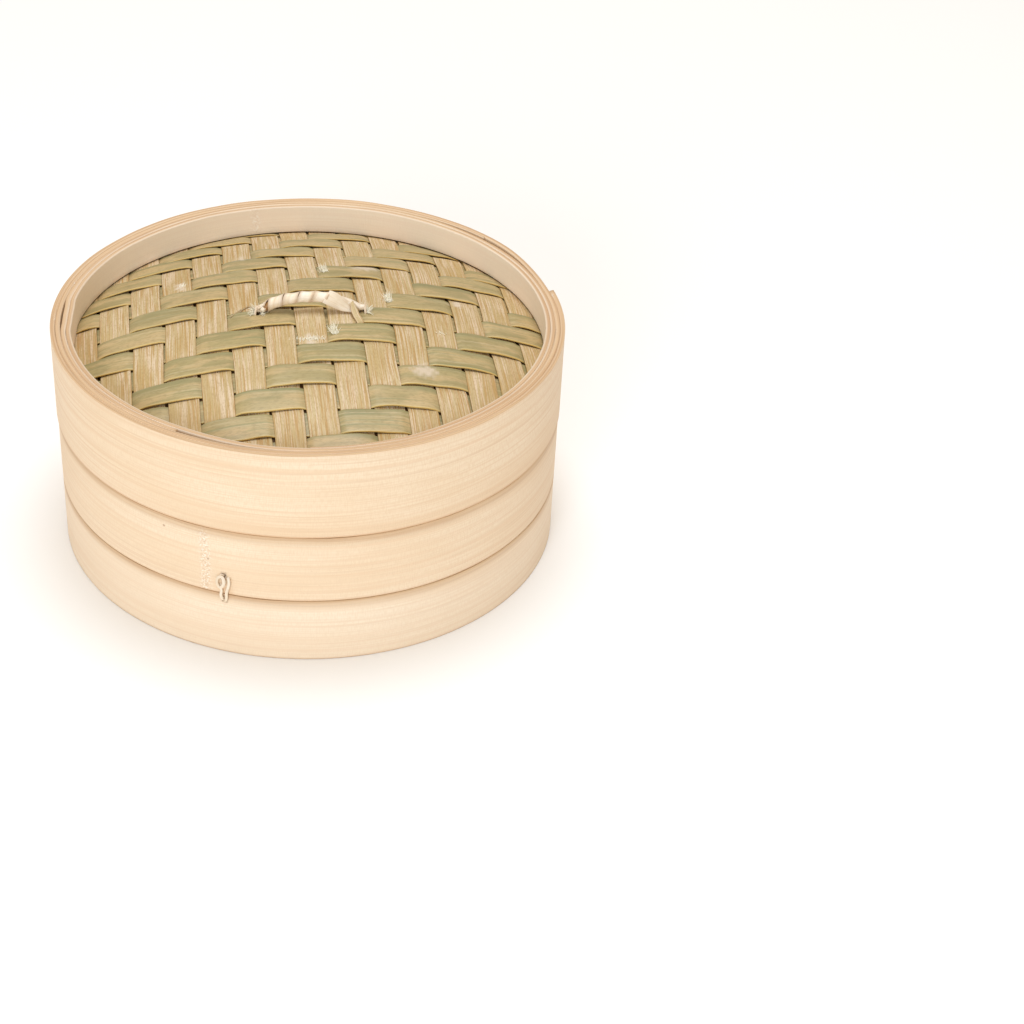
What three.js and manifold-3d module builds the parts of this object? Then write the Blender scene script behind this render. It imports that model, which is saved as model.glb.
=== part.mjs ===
// A bamboo steamer basket: one tier with a slatted floor, and its domed, woven lid with a cane handle.
// Millimetres, +Z up. The origin is the centre of the tier's foot on the table, and the front faces -Y.
import * as THREE from "three";
import { mergeVertices } from "three/addons/utils/BufferGeometryUtils.js";
import Module from "manifold-3d";

const wasm = await Module();
wasm.setup();

// ---- Driving dimensions -------------------------------------------------------------------------------

const LID_DIAMETER = 250; // over the lid's outer hoop, the widest piece
const TIER_STEP = 0.7; // how far the tier's wall stands back from the lid's hoop, on the radius
const FOOT_BAND_HEIGHT = 34.3;
const BODY_BAND_HEIGHT = 35.6;
const LID_HOOP_HEIGHT = 45;
const CLEARANCE = 0.3; // left between any two pieces that touch
const LID_FIT = 1.0; // play between the tier's spigot and the lid's hoop, on the radius

// Each hoop is a bamboo strip wound twice round, and its end lies over the joggle down to the second turn.
const HOOP_STRIP = 2.2;
const TURN_GAP = 0.3;
const STEPS_PER_TURN = 48;
const JOGGLE_STEPS = 4;
const SCARF_STEPS = 5; // over which the inner end of each strip is pared down
const SCARF_TIP = 0.6; // of the strip's thickness left at that end

/** Where the outer end of each hoop's strip lies, in steps of the turn from +X. */
const END_STEP = {
  lidHoop: 1.6,
  pressRing: 32,
  lowerRing: 30,
  bodyBand: 9,
  footBand: 21,
  liner: 36,
  footRing: 5,
};

// Floor of the tier
const FOOT_RECESS = 9; // the foot ring stands this far above the table, so that tiers can nest
const SLATS_BELOW_SEAM = 12.3; // from the foot band's top edge down to the slats' undersides
const SLAT_COUNT = 11;
const SLAT_GAP = 6;
const SLAT_THICKNESS = 3.5;
const BAR_WIDTH = 8;
const BAR_HEIGHT = 5;
const BAR_SPACING = 90; // between the centres of the two bars
const SPIGOT_HEIGHT = 8; // how far the liner stands above the body band

// Lid
const PRESS_RING_HEIGHT = 15.3; // the ring above the weave, down from the rim
const SPIGOT_HEADROOM = 1.8; // left between the spigot and the lid's lower ring
const DOME_RISE = 20; // of the weave's middle surface, above its height at the press ring
const STRAND_THICKNESS = 0.7;
const WARP_COUNT = 15; // strands running front to back
const WEFT_COUNT = 16; // strands running side to side
const WARP_GAP = 1.0;
const WEFT_GAP = 2.0;
const WARP_SHIFT = -0.8; // sideways offset of the middle warp strand
const WEAVE_TURN = THREE.MathUtils.degToRad(4.5); // the weave lies slightly askew in the hoop
const LINING_THICKNESS = 0.4;
const UNDERMAT_THICKNESS = 1.2;
const SHEET_PLAY = 0.7; // between the hoop's inside and the edge of the weave, the lining and the undermat
const DOME_RINGS = 5; // facets of the lining and the undermat, from the middle to the edge

// Handle
const HANDLE_SPAN = 51; // between the two lashings
const HANDLE_TURN = THREE.MathUtils.degToRad(-2); // of the handle from the line of the side-to-side strands
const HANDLE_SET_FORWARD = 3.4; // of the handle's middle from the middle of the lid
const HANDLE_RISE = 6.2; // of the arch's centreline above its feet
const HANDLE_CORE_RADIUS = 1.9;
const HANDLE_WRAP_THICKNESS = 0.55;
const HANDLE_BARE_END = 6.5; // of bare core between each lashing and the wrap
const HANDLE_FOOT_OVERHANG = 2.9; // of each foot past its lashing
const HANDLE_FOOT_INSIDE = 2.2; // of straight foot between the lashing and the arch
const ARCH_FLATNESS = 2.5; // power of the arch's curve: 2 is a parabola, and more is flatter on top
const HANDLE_SIDES = 8; // facets round the core and the wrap
const CORE_STEPS = 20; // facets along them
const WRAP_STEPS = 12;

// Cane lashings, on the handle and through the tier's wall
const CANE_WIDTH = 2.2;
const CANE_THICKNESS = 1.1;
const CANE_CORNER = 0.5; // cut off the outer corners where the cane turns
const TIE_COUNT = 3;
const FIRST_TIE_ANGLE = THREE.MathUtils.degToRad(-108.9);
const TIE_ABOVE_SEAM = 10.5;
const TIE_BELOW_SEAM = 4.2;

const CUT_OVERSHOOT = 1; // of each cutter past the solid that it cuts

// ---- Radii and levels that follow from them -----------------------------------------------------------

const lidRadius = LID_DIAMETER / 2;
const hoopWall = 2 * HOOP_STRIP + TURN_GAP;
const ringRadius = lidRadius - hoopWall - CLEARANCE; // outside of the rings inside the lid's hoop
const domeRadius = ringRadius - hoopWall; // where the weave comes out from under the press ring
const sheetRadius = ringRadius - SHEET_PLAY;
const tierRadius = lidRadius - TIER_STEP;
const bandInside = tierRadius - hoopWall;
const linerRadius = Math.min(bandInside - CLEARANCE, lidRadius - hoopWall - LID_FIT);
const linerInside = linerRadius - hoopWall;

const bodyBandBottom = FOOT_BAND_HEIGHT + CLEARANCE;
const tierTop = bodyBandBottom + BODY_BAND_HEIGHT;
const lidBottom = tierTop + CLEARANCE;
const lidTop = lidBottom + LID_HOOP_HEIGHT;
const slatBottom = FOOT_BAND_HEIGHT - SLATS_BELOW_SEAM;
const footRingTop = slatBottom - CLEARANCE;
const linerBottom = slatBottom + SLAT_THICKNESS + CLEARANCE;
const linerTop = tierTop + SPIGOT_HEIGHT;

// Heights in the lid's sheet are measured from the weave's middle surface, a spherical cap.
const strandLift = (STRAND_THICKNESS + CLEARANCE) / 2; // of a strand's middle where it passes over another
const weaveHalf = strandLift + STRAND_THICKNESS / 2;
const liningTop = -weaveHalf - CLEARANCE;
const undermatTop = liningTop - LINING_THICKNESS - CLEARANCE;
const undermatBottom = undermatTop - UNDERMAT_THICKNESS;

const pressRingBottom = lidTop - PRESS_RING_HEIGHT;
const domeEdge = pressRingBottom - CLEARANCE - weaveHalf;
const domePeak = domeEdge + DOME_RISE;
const capRadius = (domeRadius ** 2 + DOME_RISE ** 2) / (2 * DOME_RISE);

/** Height of the weave's middle surface at a distance from the lid's axis. */
function capHeight(distance) {
  return domePeak - capRadius + Math.sqrt(capRadius ** 2 - distance ** 2);
}

// ---- Materials ----------------------------------------------------------------------------------------

const planedBamboo = new THREE.MeshStandardMaterial({ color: "#f3dcb9", roughness: 0.62, metalness: 0 });
const floorBamboo = new THREE.MeshStandardMaterial({ color: "#e8cf9f", roughness: 0.66, metalness: 0 });
const warpBamboo = new THREE.MeshStandardMaterial({ color: "#d3b884", roughness: 0.7, metalness: 0 });
const weftBamboo = new THREE.MeshStandardMaterial({ color: "#b3a66c", roughness: 0.55, metalness: 0 });
const dryLeaf = new THREE.MeshStandardMaterial({ color: "#d9cfae", roughness: 0.85, metalness: 0 });
const cane = new THREE.MeshStandardMaterial({ color: "#f0e0bd", roughness: 0.5, metalness: 0 });

// ---- Solids -------------------------------------------------------------------------------------------

/** A closed three.js geometry as a manifold-3d solid. */
function solidOf(geometry) {
  const positions = new THREE.BufferGeometry();
  const source = geometry.index ? geometry.toNonIndexed() : geometry;
  positions.setAttribute("position", source.getAttribute("position"));
  const merged = mergeVertices(positions, 1e-4);
  return new wasm.Manifold(
    new wasm.Mesh({
      numProp: 3,
      vertProperties: merged.attributes.position.array,
      triVerts: new Uint32Array(merged.index.array),
    }),
  );
}

/** A manifold-3d solid as a three.js geometry. */
function geometryOf(solid) {
  const mesh = solid.getMesh();
  const geometry = new THREE.BufferGeometry();
  geometry.setAttribute("position", new THREE.BufferAttribute(mesh.vertProperties, 3));
  geometry.setIndex(new THREE.BufferAttribute(mesh.triVerts, 1));
  geometry.computeVertexNormals();
  return geometry;
}

/** A geometry less each of the cutters. */
function cut(geometry, cutters) {
  return geometryOf(cutters.reduce((solid, cutter) => solid.subtract(solidOf(cutter)), solidOf(geometry)));
}

function addMesh(group, name, geometry, material) {
  const mesh = new THREE.Mesh(geometry, material);
  mesh.name = name;
  group.add(mesh);
  return mesh;
}

/** A strip wound twice round the Z axis, clockwise from above, with its outer end at a step of the turn. */
function woundHoop(outerRadius, bottom, height, endStep) {
  const { smoothstep } = THREE.MathUtils;
  const turn = (2 * Math.PI) / STEPS_PER_TURN;
  const joggleStart = STEPS_PER_TURN - JOGGLE_STEPS;
  const lastStep = 2 * STEPS_PER_TURN - JOGGLE_STEPS;
  const scarfStart = lastStep - SCARF_STEPS;
  const drop = (step) => smoothstep(step, joggleStart, STEPS_PER_TURN) * (HOOP_STRIP + TURN_GAP);
  const paredOff = HOOP_STRIP - SCARF_TIP;
  const thickness = (step) => HOOP_STRIP - smoothstep(step, scarfStart, lastStep) * paredOff;
  const point = (step, depth) => {
    const radius = outerRadius - drop(step) - depth;
    const angle = (endStep - step) * turn;
    return new THREE.Vector2(radius * Math.cos(angle), radius * Math.sin(angle));
  };
  const outside = Array.from({ length: lastStep + 1 }, (_, step) => point(step, 0));
  const inside = Array.from({ length: lastStep + 1 }, (_, step) => point(step, thickness(step)));
  const shape = new THREE.Shape([...outside, ...inside.reverse()]);
  const geometry = new THREE.ExtrudeGeometry(shape, { depth: height, bevelEnabled: false });
  return geometry.translate(0, 0, bottom);
}

/** A box between two heights, centred at x and y. */
function block(x, y, bottom, width, depth, height) {
  return new THREE.BoxGeometry(width, depth, height).translate(x, y, bottom + height / 2);
}

// ---- Cane lashings ------------------------------------------------------------------------------------

/**
 * A flat cane strand closed on itself: a rectangular loop in the XZ plane, CANE_WIDTH wide along Y.
 * The limits are those of the loop's outside.
 */
function caneLoop({ left, right, bottom, top }) {
  const shape = new THREE.Shape([
    new THREE.Vector2(left + CANE_CORNER, bottom),
    new THREE.Vector2(right - CANE_CORNER, bottom),
    new THREE.Vector2(right, bottom + CANE_CORNER),
    new THREE.Vector2(right, top - CANE_CORNER),
    new THREE.Vector2(right - CANE_CORNER, top),
    new THREE.Vector2(left + CANE_CORNER, top),
    new THREE.Vector2(left, top - CANE_CORNER),
    new THREE.Vector2(left, bottom + CANE_CORNER),
  ]);
  const inner = new THREE.Path([
    new THREE.Vector2(left + CANE_THICKNESS, bottom + CANE_THICKNESS),
    new THREE.Vector2(left + CANE_THICKNESS, top - CANE_THICKNESS),
    new THREE.Vector2(right - CANE_THICKNESS, top - CANE_THICKNESS),
    new THREE.Vector2(right - CANE_THICKNESS, bottom + CANE_THICKNESS),
  ]);
  shape.holes.push(inner);
  const geometry = new THREE.ExtrudeGeometry(shape, { depth: CANE_WIDTH, bevelEnabled: false });
  return geometry.rotateX(Math.PI / 2).translate(0, CANE_WIDTH / 2, 0);
}

// The tier's ties: each loops through the body band, the liner and the foot band, across the seam.
const tieSeam = FOOT_BAND_HEIGHT + CLEARANCE / 2;
const tieLoop = {
  left: linerInside - CLEARANCE - CANE_THICKNESS,
  right: tierRadius + CLEARANCE + CANE_THICKNESS,
  bottom: tieSeam - TIE_BELOW_SEAM - CANE_THICKNESS / 2,
  top: tieSeam + TIE_ABOVE_SEAM + CANE_THICKNESS / 2,
};
const tieTurn = (2 * Math.PI) / TIE_COUNT;
const tieAngles = Array.from({ length: TIE_COUNT }, (_, i) => FIRST_TIE_ANGLE + i * tieTurn);

/** The clearance holes through the wall for both legs of every tie. */
function tieHoles() {
  const length = tieLoop.right - tieLoop.left + 2 * CUT_OVERSHOOT;
  const middle = (tieLoop.right + tieLoop.left) / 2;
  const holeHeight = CANE_THICKNESS + 2 * CLEARANCE;
  const holeWidth = CANE_WIDTH + 2 * CLEARANCE;
  return tieAngles.flatMap((angle) =>
    [tieLoop.bottom, tieLoop.top - CANE_THICKNESS].map((legBottom) =>
      block(middle, 0, legBottom - CLEARANCE, length, holeWidth, holeHeight).rotateZ(angle),
    ),
  );
}

// ---- The tier -----------------------------------------------------------------------------------------

function floorSlats(tier) {
  const span = 2 * linerInside - 2 * CLEARANCE;
  const width = (span - (SLAT_COUNT - 1) * SLAT_GAP) / SLAT_COUNT;
  const reach = linerRadius - 2 * CLEARANCE;
  const endAt = (y) => Math.sqrt(reach ** 2 - y ** 2);
  for (let i = 0; i < SLAT_COUNT; i += 1) {
    const middle = (i - (SLAT_COUNT - 1) / 2) * (width + SLAT_GAP);
    const front = middle - width / 2;
    const back = middle + width / 2;
    const outline = new THREE.Shape([
      new THREE.Vector2(-endAt(front), front),
      new THREE.Vector2(endAt(front), front),
      new THREE.Vector2(endAt(back), back),
      new THREE.Vector2(-endAt(back), back),
    ]);
    const slat = new THREE.ExtrudeGeometry(outline, { depth: SLAT_THICKNESS, bevelEnabled: false });
    const number = String(i + 1).padStart(2, "0");
    addMesh(tier, `floor_slat_${number}`, slat.translate(0, 0, slatBottom), floorBamboo);
  }
}

/** Two bars under the slats, in notches across the foot ring. */
function crossBars(tier) {
  const barBottom = footRingTop - BAR_HEIGHT;
  const notches = [];
  for (const [name, side] of [["left", -1], ["right", 1]]) {
    const x = (side * BAR_SPACING) / 2;
    const far = Math.abs(x) + BAR_WIDTH / 2;
    const length = 2 * Math.sqrt((linerRadius - 2 * CLEARANCE) ** 2 - far ** 2);
    const bar = block(x, 0, barBottom, BAR_WIDTH, length, BAR_HEIGHT);
    addMesh(tier, `floor_bar_${name}`, bar, floorBamboo);
    const notchWidth = BAR_WIDTH + 2 * CLEARANCE;
    const notchHeight = BAR_HEIGHT + 2 * CLEARANCE + CUT_OVERSHOOT;
    notches.push(block(x, 0, barBottom - CLEARANCE, notchWidth, LID_DIAMETER, notchHeight));
  }
  return notches;
}

function makeTier() {
  const tier = new THREE.Group();
  const holes = tieHoles();
  const footBand = woundHoop(tierRadius, 0, FOOT_BAND_HEIGHT, END_STEP.footBand);
  const bodyBand = woundHoop(tierRadius, bodyBandBottom, BODY_BAND_HEIGHT, END_STEP.bodyBand);
  const liner = woundHoop(linerRadius, linerBottom, linerTop - linerBottom, END_STEP.liner);
  addMesh(tier, "tier_foot_band", cut(footBand, holes), planedBamboo);
  addMesh(tier, "tier_body_band", cut(bodyBand, holes), planedBamboo);
  addMesh(tier, "tier_liner_hoop", cut(liner, holes), planedBamboo);
  const notches = crossBars(tier);
  const footRing = woundHoop(linerRadius, FOOT_RECESS, footRingTop - FOOT_RECESS, END_STEP.footRing);
  addMesh(tier, "tier_foot_ring", cut(footRing, notches), planedBamboo);
  floorSlats(tier);
  tieAngles.forEach((angle, i) => {
    const tie = addMesh(tier, `wall_tie_${i + 1}`, caneLoop(tieLoop), cane);
    tie.rotation.z = angle;
  });
  return tier;
}

// ---- The lid's weave ----------------------------------------------------------------------------------

const pitch = (domeRadius + sheetRadius) / WARP_COUNT;
const warps = Array.from({ length: WARP_COUNT }, (_, i) => i - (WARP_COUNT - 1) / 2);
const wefts = Array.from({ length: WEFT_COUNT }, (_, i) => i - WEFT_COUNT / 2);
const warpAt = (i) => i * pitch + WARP_SHIFT;
const weftAt = (j) => (j + 0.5) * pitch;

/** Two-over, two-under twill that steps one strand per row: true where the weft lies over the warp. */
function weftIsOver(i, j) {
  return THREE.MathUtils.euclideanModulo(i - j - 3, 4) < 2;
}

/**
 * One strand, flat across each strand that it crosses and stepping up or down between them.
 * It runs along X in its own frame, and place turns its own x and y into the weave's.
 */
function strand(width, crossings, place) {
  const stations = crossings.flatMap(({ from, to, lift }) => [
    { along: from, lift },
    { along: to, lift },
  ]);
  const pieces = stations.length - 1;
  const geometry = new THREE.BoxGeometry(1, width, STRAND_THICKNESS, pieces, 1, 1);
  const position = geometry.getAttribute("position");
  for (let v = 0; v < position.count; v += 1) {
    const { along, lift } = stations[Math.round((position.getX(v) + 0.5) * pieces)];
    const [x, y] = place(along, position.getY(v));
    position.setXYZ(v, x, y, capHeight(Math.hypot(x, y)) + lift + position.getZ(v));
  }
  return geometry;
}

/** Where a strand crosses the others, past the rim at both ends so that it can be trimmed there. */
function crossingsOf(indices, at, width, isOver) {
  const first = indices[0] - 1;
  const last = indices[indices.length - 1] + 1;
  return [first, ...indices, last].map((k) => ({
    from: at(k) - width / 2,
    to: at(k) + width / 2,
    lift: isOver(k) ? strandLift : -strandLift,
  }));
}

function weave(lid, pierced) {
  const warpWidth = pitch - WARP_GAP;
  const weftWidth = pitch - WEFT_GAP;
  const trimHeight = 4 * DOME_RISE; // past the top and the bottom of the dome
  const disc = new THREE.CylinderGeometry(sheetRadius, sheetRadius, trimHeight, STEPS_PER_TURN);
  const trim = solidOf(disc.rotateX(Math.PI / 2).translate(0, 0, domePeak));
  const finish = (geometry) => {
    const trimmed = solidOf(geometry).intersect(trim);
    return geometryOf(pierced.reduce((solid, hole) => solid.subtract(hole), trimmed));
  };
  warps.forEach((i, n) => {
    const crossings = crossingsOf(wefts, weftAt, weftWidth, (j) => !weftIsOver(i, j));
    const blank = strand(warpWidth, crossings, (along, across) => [warpAt(i) - across, along]);
    addMesh(lid, `weave_warp_${String(n + 1).padStart(2, "0")}`, finish(blank), warpBamboo);
  });
  wefts.forEach((j, n) => {
    const crossings = crossingsOf(warps, warpAt, warpWidth, (i) => weftIsOver(i, j));
    const blank = strand(weftWidth, crossings, (along, across) => [along, weftAt(j) + across]);
    addMesh(lid, `weave_weft_${String(n + 1).padStart(2, "0")}`, finish(blank), weftBamboo);
  });
}

/** A round sheet between two depths under the weave's middle surface. */
function domedSheet(top, bottom) {
  const radii = Array.from({ length: DOME_RINGS + 1 }, (_, i) => (i / DOME_RINGS) * sheetRadius);
  const under = radii.map((r) => new THREE.Vector2(r, capHeight(r) + bottom));
  const over = radii.reverse().map((r) => new THREE.Vector2(r, capHeight(r) + top));
  return new THREE.LatheGeometry([...under, ...over], STEPS_PER_TURN).rotateX(Math.PI / 2);
}

// ---- The handle and its lashings ----------------------------------------------------------------------

const lashingX = HANDLE_SPAN / 2;
const footHeight = capHeight(lashingX) + weaveHalf + CLEARANCE + HANDLE_CORE_RADIUS;
const lashingLoop = {
  left: -HANDLE_CORE_RADIUS - CLEARANCE - CANE_THICKNESS,
  right: HANDLE_CORE_RADIUS + CLEARANCE + CANE_THICKNESS,
  bottom: capHeight(lashingX + CANE_WIDTH) + undermatBottom - CLEARANCE - CANE_THICKNESS,
  top: footHeight + HANDLE_CORE_RADIUS + CLEARANCE + CANE_THICKNESS,
};

/** The clearance holes through the lid's sheet for the four legs of the two lashings. */
function lashingHoles() {
  const height = lashingLoop.top - lashingLoop.bottom;
  const legs = [lashingLoop.left + CANE_THICKNESS / 2, lashingLoop.right - CANE_THICKNESS / 2];
  const width = CANE_WIDTH + 2 * CLEARANCE;
  const depth = CANE_THICKNESS + 2 * CLEARANCE;
  return [-lashingX, lashingX].flatMap((x) =>
    legs.map((y) => {
      const hole = block(x, y, lashingLoop.bottom, width, depth, height);
      return solidOf(hole.rotateZ(HANDLE_TURN).translate(0, -HANDLE_SET_FORWARD, 0));
    }),
  );
}

/** The arch's centreline: straight feet along X, and a flat-topped rise between them. */
class HandleLine extends THREE.Curve {
  constructor(halfLength) {
    super();
    this.halfLength = halfLength;
  }

  getPoint(t, target = new THREE.Vector3()) {
    const x = (2 * t - 1) * this.halfLength;
    const archHalf = lashingX - HANDLE_FOOT_INSIDE;
    const share = Math.min(1, Math.abs(x) / archHalf);
    return target.set(x, 0, footHeight + HANDLE_RISE * (1 - share ** ARCH_FLATNESS));
  }
}

function roundSection(radius) {
  const corner = (i) => (i * 2 * Math.PI) / HANDLE_SIDES;
  return Array.from(
    { length: HANDLE_SIDES },
    (_, i) => new THREE.Vector2(radius * Math.cos(corner(i)), radius * Math.sin(corner(i))),
  );
}

function makeHandle() {
  const handle = new THREE.Group();
  const coreLine = new HandleLine(lashingX + HANDLE_FOOT_OVERHANG);
  const core = new THREE.Shape(roundSection(HANDLE_CORE_RADIUS));
  const coreSolid = new THREE.ExtrudeGeometry(core, { steps: CORE_STEPS, extrudePath: coreLine });
  addMesh(handle, "handle_core", coreSolid, cane);
  const wrapInside = HANDLE_CORE_RADIUS + CLEARANCE;
  const wrap = new THREE.Shape(roundSection(wrapInside + HANDLE_WRAP_THICKNESS));
  wrap.holes.push(new THREE.Path(roundSection(wrapInside).reverse()));
  const wrapLine = new HandleLine(lashingX - HANDLE_BARE_END);
  const wrapSolid = new THREE.ExtrudeGeometry(wrap, { steps: WRAP_STEPS, extrudePath: wrapLine });
  addMesh(handle, "handle_wrap", wrapSolid, cane);
  return handle;
}

// ---- The lid ------------------------------------------------------------------------------------------

function makeLid() {
  const lid = new THREE.Group();
  const hoop = woundHoop(lidRadius, lidBottom, LID_HOOP_HEIGHT, END_STEP.lidHoop);
  addMesh(lid, "lid_outer_hoop", hoop, planedBamboo);
  const pressRing = woundHoop(ringRadius, pressRingBottom, PRESS_RING_HEIGHT, END_STEP.pressRing);
  addMesh(lid, "lid_press_ring", pressRing, planedBamboo);
  const lowerBottom = lidBottom + SPIGOT_HEIGHT + SPIGOT_HEADROOM;
  const lowerTop = capHeight(sheetRadius) + undermatBottom - CLEARANCE;
  const lowerRing = woundHoop(ringRadius, lowerBottom, lowerTop - lowerBottom, END_STEP.lowerRing);
  addMesh(lid, "lid_lower_ring", lowerRing, planedBamboo);

  const askew = new THREE.Group();
  askew.rotation.z = WEAVE_TURN;
  const pierced = lashingHoles();
  const pierce = (geometry) =>
    geometryOf(pierced.reduce((solid, hole) => solid.subtract(hole), solidOf(geometry)));
  weave(askew, pierced);
  const lining = domedSheet(liningTop, liningTop - LINING_THICKNESS);
  addMesh(askew, "lid_lining_leaf", pierce(lining), dryLeaf);
  addMesh(askew, "lid_undermat", pierce(domedSheet(undermatTop, undermatBottom)), warpBamboo);
  const handlePlace = new THREE.Group();
  handlePlace.rotation.z = HANDLE_TURN;
  handlePlace.position.y = -HANDLE_SET_FORWARD;
  for (const [name, side] of [["left", -1], ["right", 1]]) {
    const lashing = addMesh(handlePlace, `handle_lashing_${name}`, caneLoop(lashingLoop), cane);
    lashing.rotation.z = Math.PI / 2;
    lashing.position.x = side * lashingX;
  }
  handlePlace.add(makeHandle());
  askew.add(handlePlace);
  lid.add(askew);
  return lid;
}

const steamer = new THREE.Group();
steamer.add(makeTier(), makeLid());

export default steamer;
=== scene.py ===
"""The looks of a bamboo steamer basket: wound hoops, a twill-woven lid, a cane handle, a slatted floor."""

import math
from functools import partial

import bpy
import numpy as np
from mathutils import Matrix, Vector


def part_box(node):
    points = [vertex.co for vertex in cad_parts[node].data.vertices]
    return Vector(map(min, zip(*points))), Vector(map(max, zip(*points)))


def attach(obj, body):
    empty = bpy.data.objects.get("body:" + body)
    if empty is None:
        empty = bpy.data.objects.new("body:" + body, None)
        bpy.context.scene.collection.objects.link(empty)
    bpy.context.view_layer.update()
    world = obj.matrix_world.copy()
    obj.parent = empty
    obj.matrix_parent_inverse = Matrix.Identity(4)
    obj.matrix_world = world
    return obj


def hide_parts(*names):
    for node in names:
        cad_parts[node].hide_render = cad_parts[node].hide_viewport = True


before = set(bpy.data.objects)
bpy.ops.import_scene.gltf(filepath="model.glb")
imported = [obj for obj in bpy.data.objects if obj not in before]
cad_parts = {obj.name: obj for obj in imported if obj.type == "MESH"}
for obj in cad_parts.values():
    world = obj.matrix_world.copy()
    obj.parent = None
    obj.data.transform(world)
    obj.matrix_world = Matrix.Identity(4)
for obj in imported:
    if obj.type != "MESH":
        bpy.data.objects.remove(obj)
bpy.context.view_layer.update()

MM = 0.001
DEGREE = math.pi / 180


# ---- Camera, light and floor ----

CAMERA_PLACE = Vector((0.0025, -0.9219, 0.6463))
CAMERA_HEADING = 6.33 * DEGREE  # to the right of straight ahead
CAMERA_DOWN = 34.99 * DEGREE
CAMERA_ROLL = 3.40 * DEGREE
CAMERA_LENS_MM = 75.9  # on a 36 mm sensor


def add_camera():
    data = bpy.data.cameras.new("camera")
    data.lens = CAMERA_LENS_MM
    data.sensor_width = 36
    data.clip_start = 0.01
    camera = bpy.data.objects.new("camera", data)
    bpy.context.scene.collection.objects.link(camera)
    turn = (
        Matrix.Rotation(-CAMERA_HEADING, 4, "Z")
        @ Matrix.Rotation(math.pi / 2 - CAMERA_DOWN, 4, "X")
        @ Matrix.Rotation(CAMERA_ROLL, 4, "Z")
    )
    camera.matrix_world = Matrix.Translation(CAMERA_PLACE) @ turn
    bpy.context.scene.camera = camera


def add_area_light(name, place, aim, size, power, colour=(1, 1, 1)):
    data = bpy.data.lights.new(name, "AREA")
    data.shape = "DISK"
    data.size = size
    data.energy = power
    data.color = colour
    light = bpy.data.objects.new(name, data)
    light.location = place
    light.rotation_euler = (Vector(aim) - Vector(place)).to_track_quat("-Z", "Y").to_euler()
    bpy.context.scene.collection.objects.link(light)


def add_lights():
    world = bpy.data.worlds.new("studio")
    world.use_nodes = True
    sky = world.node_tree.nodes["Background"]
    sky.inputs["Color"].default_value = (1, 0.87, 0.72, 1)
    sky.inputs["Strength"].default_value = 0.57
    bpy.context.scene.world = world
    add_area_light("key", (-0.6, -2.05, 0.85), (0, 0, 0.06), 0.9, 21, (0.86, 0.97, 1.08))
    add_area_light("top", (0.1, 0.35, 2.6), (0, 0, 0.1), 1.5, 38, (0.93, 0.99, 1.04))
    bpy.context.scene.view_settings.view_transform = "Standard"


def add_floor():
    half = 6.0
    mesh = bpy.data.meshes.new("floor")
    corners = [(-half, -half, 0), (half, -half, 0), (half, half, 0), (-half, half, 0)]
    mesh.from_pydata(corners, [], [(0, 1, 2, 3)])
    floor = bpy.data.objects.new("floor", mesh)
    bpy.context.scene.collection.objects.link(floor)
    paint = Paint("floor", (0.96, 0.965, 0.97, 1))
    paint.shade(0.9)
    mesh.materials.append(paint.material)


# ---- Materials ----


def srgb(red, green, blue):
    """A colour given in 8-bit sRGB, as linear values."""
    shares = [v / 255 for v in (red, green, blue)]
    linear = [v / 12.92 if v <= 0.04045 else ((v + 0.055) / 1.055) ** 2.4 for v in shares]
    return (*linear, 1.0)


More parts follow.
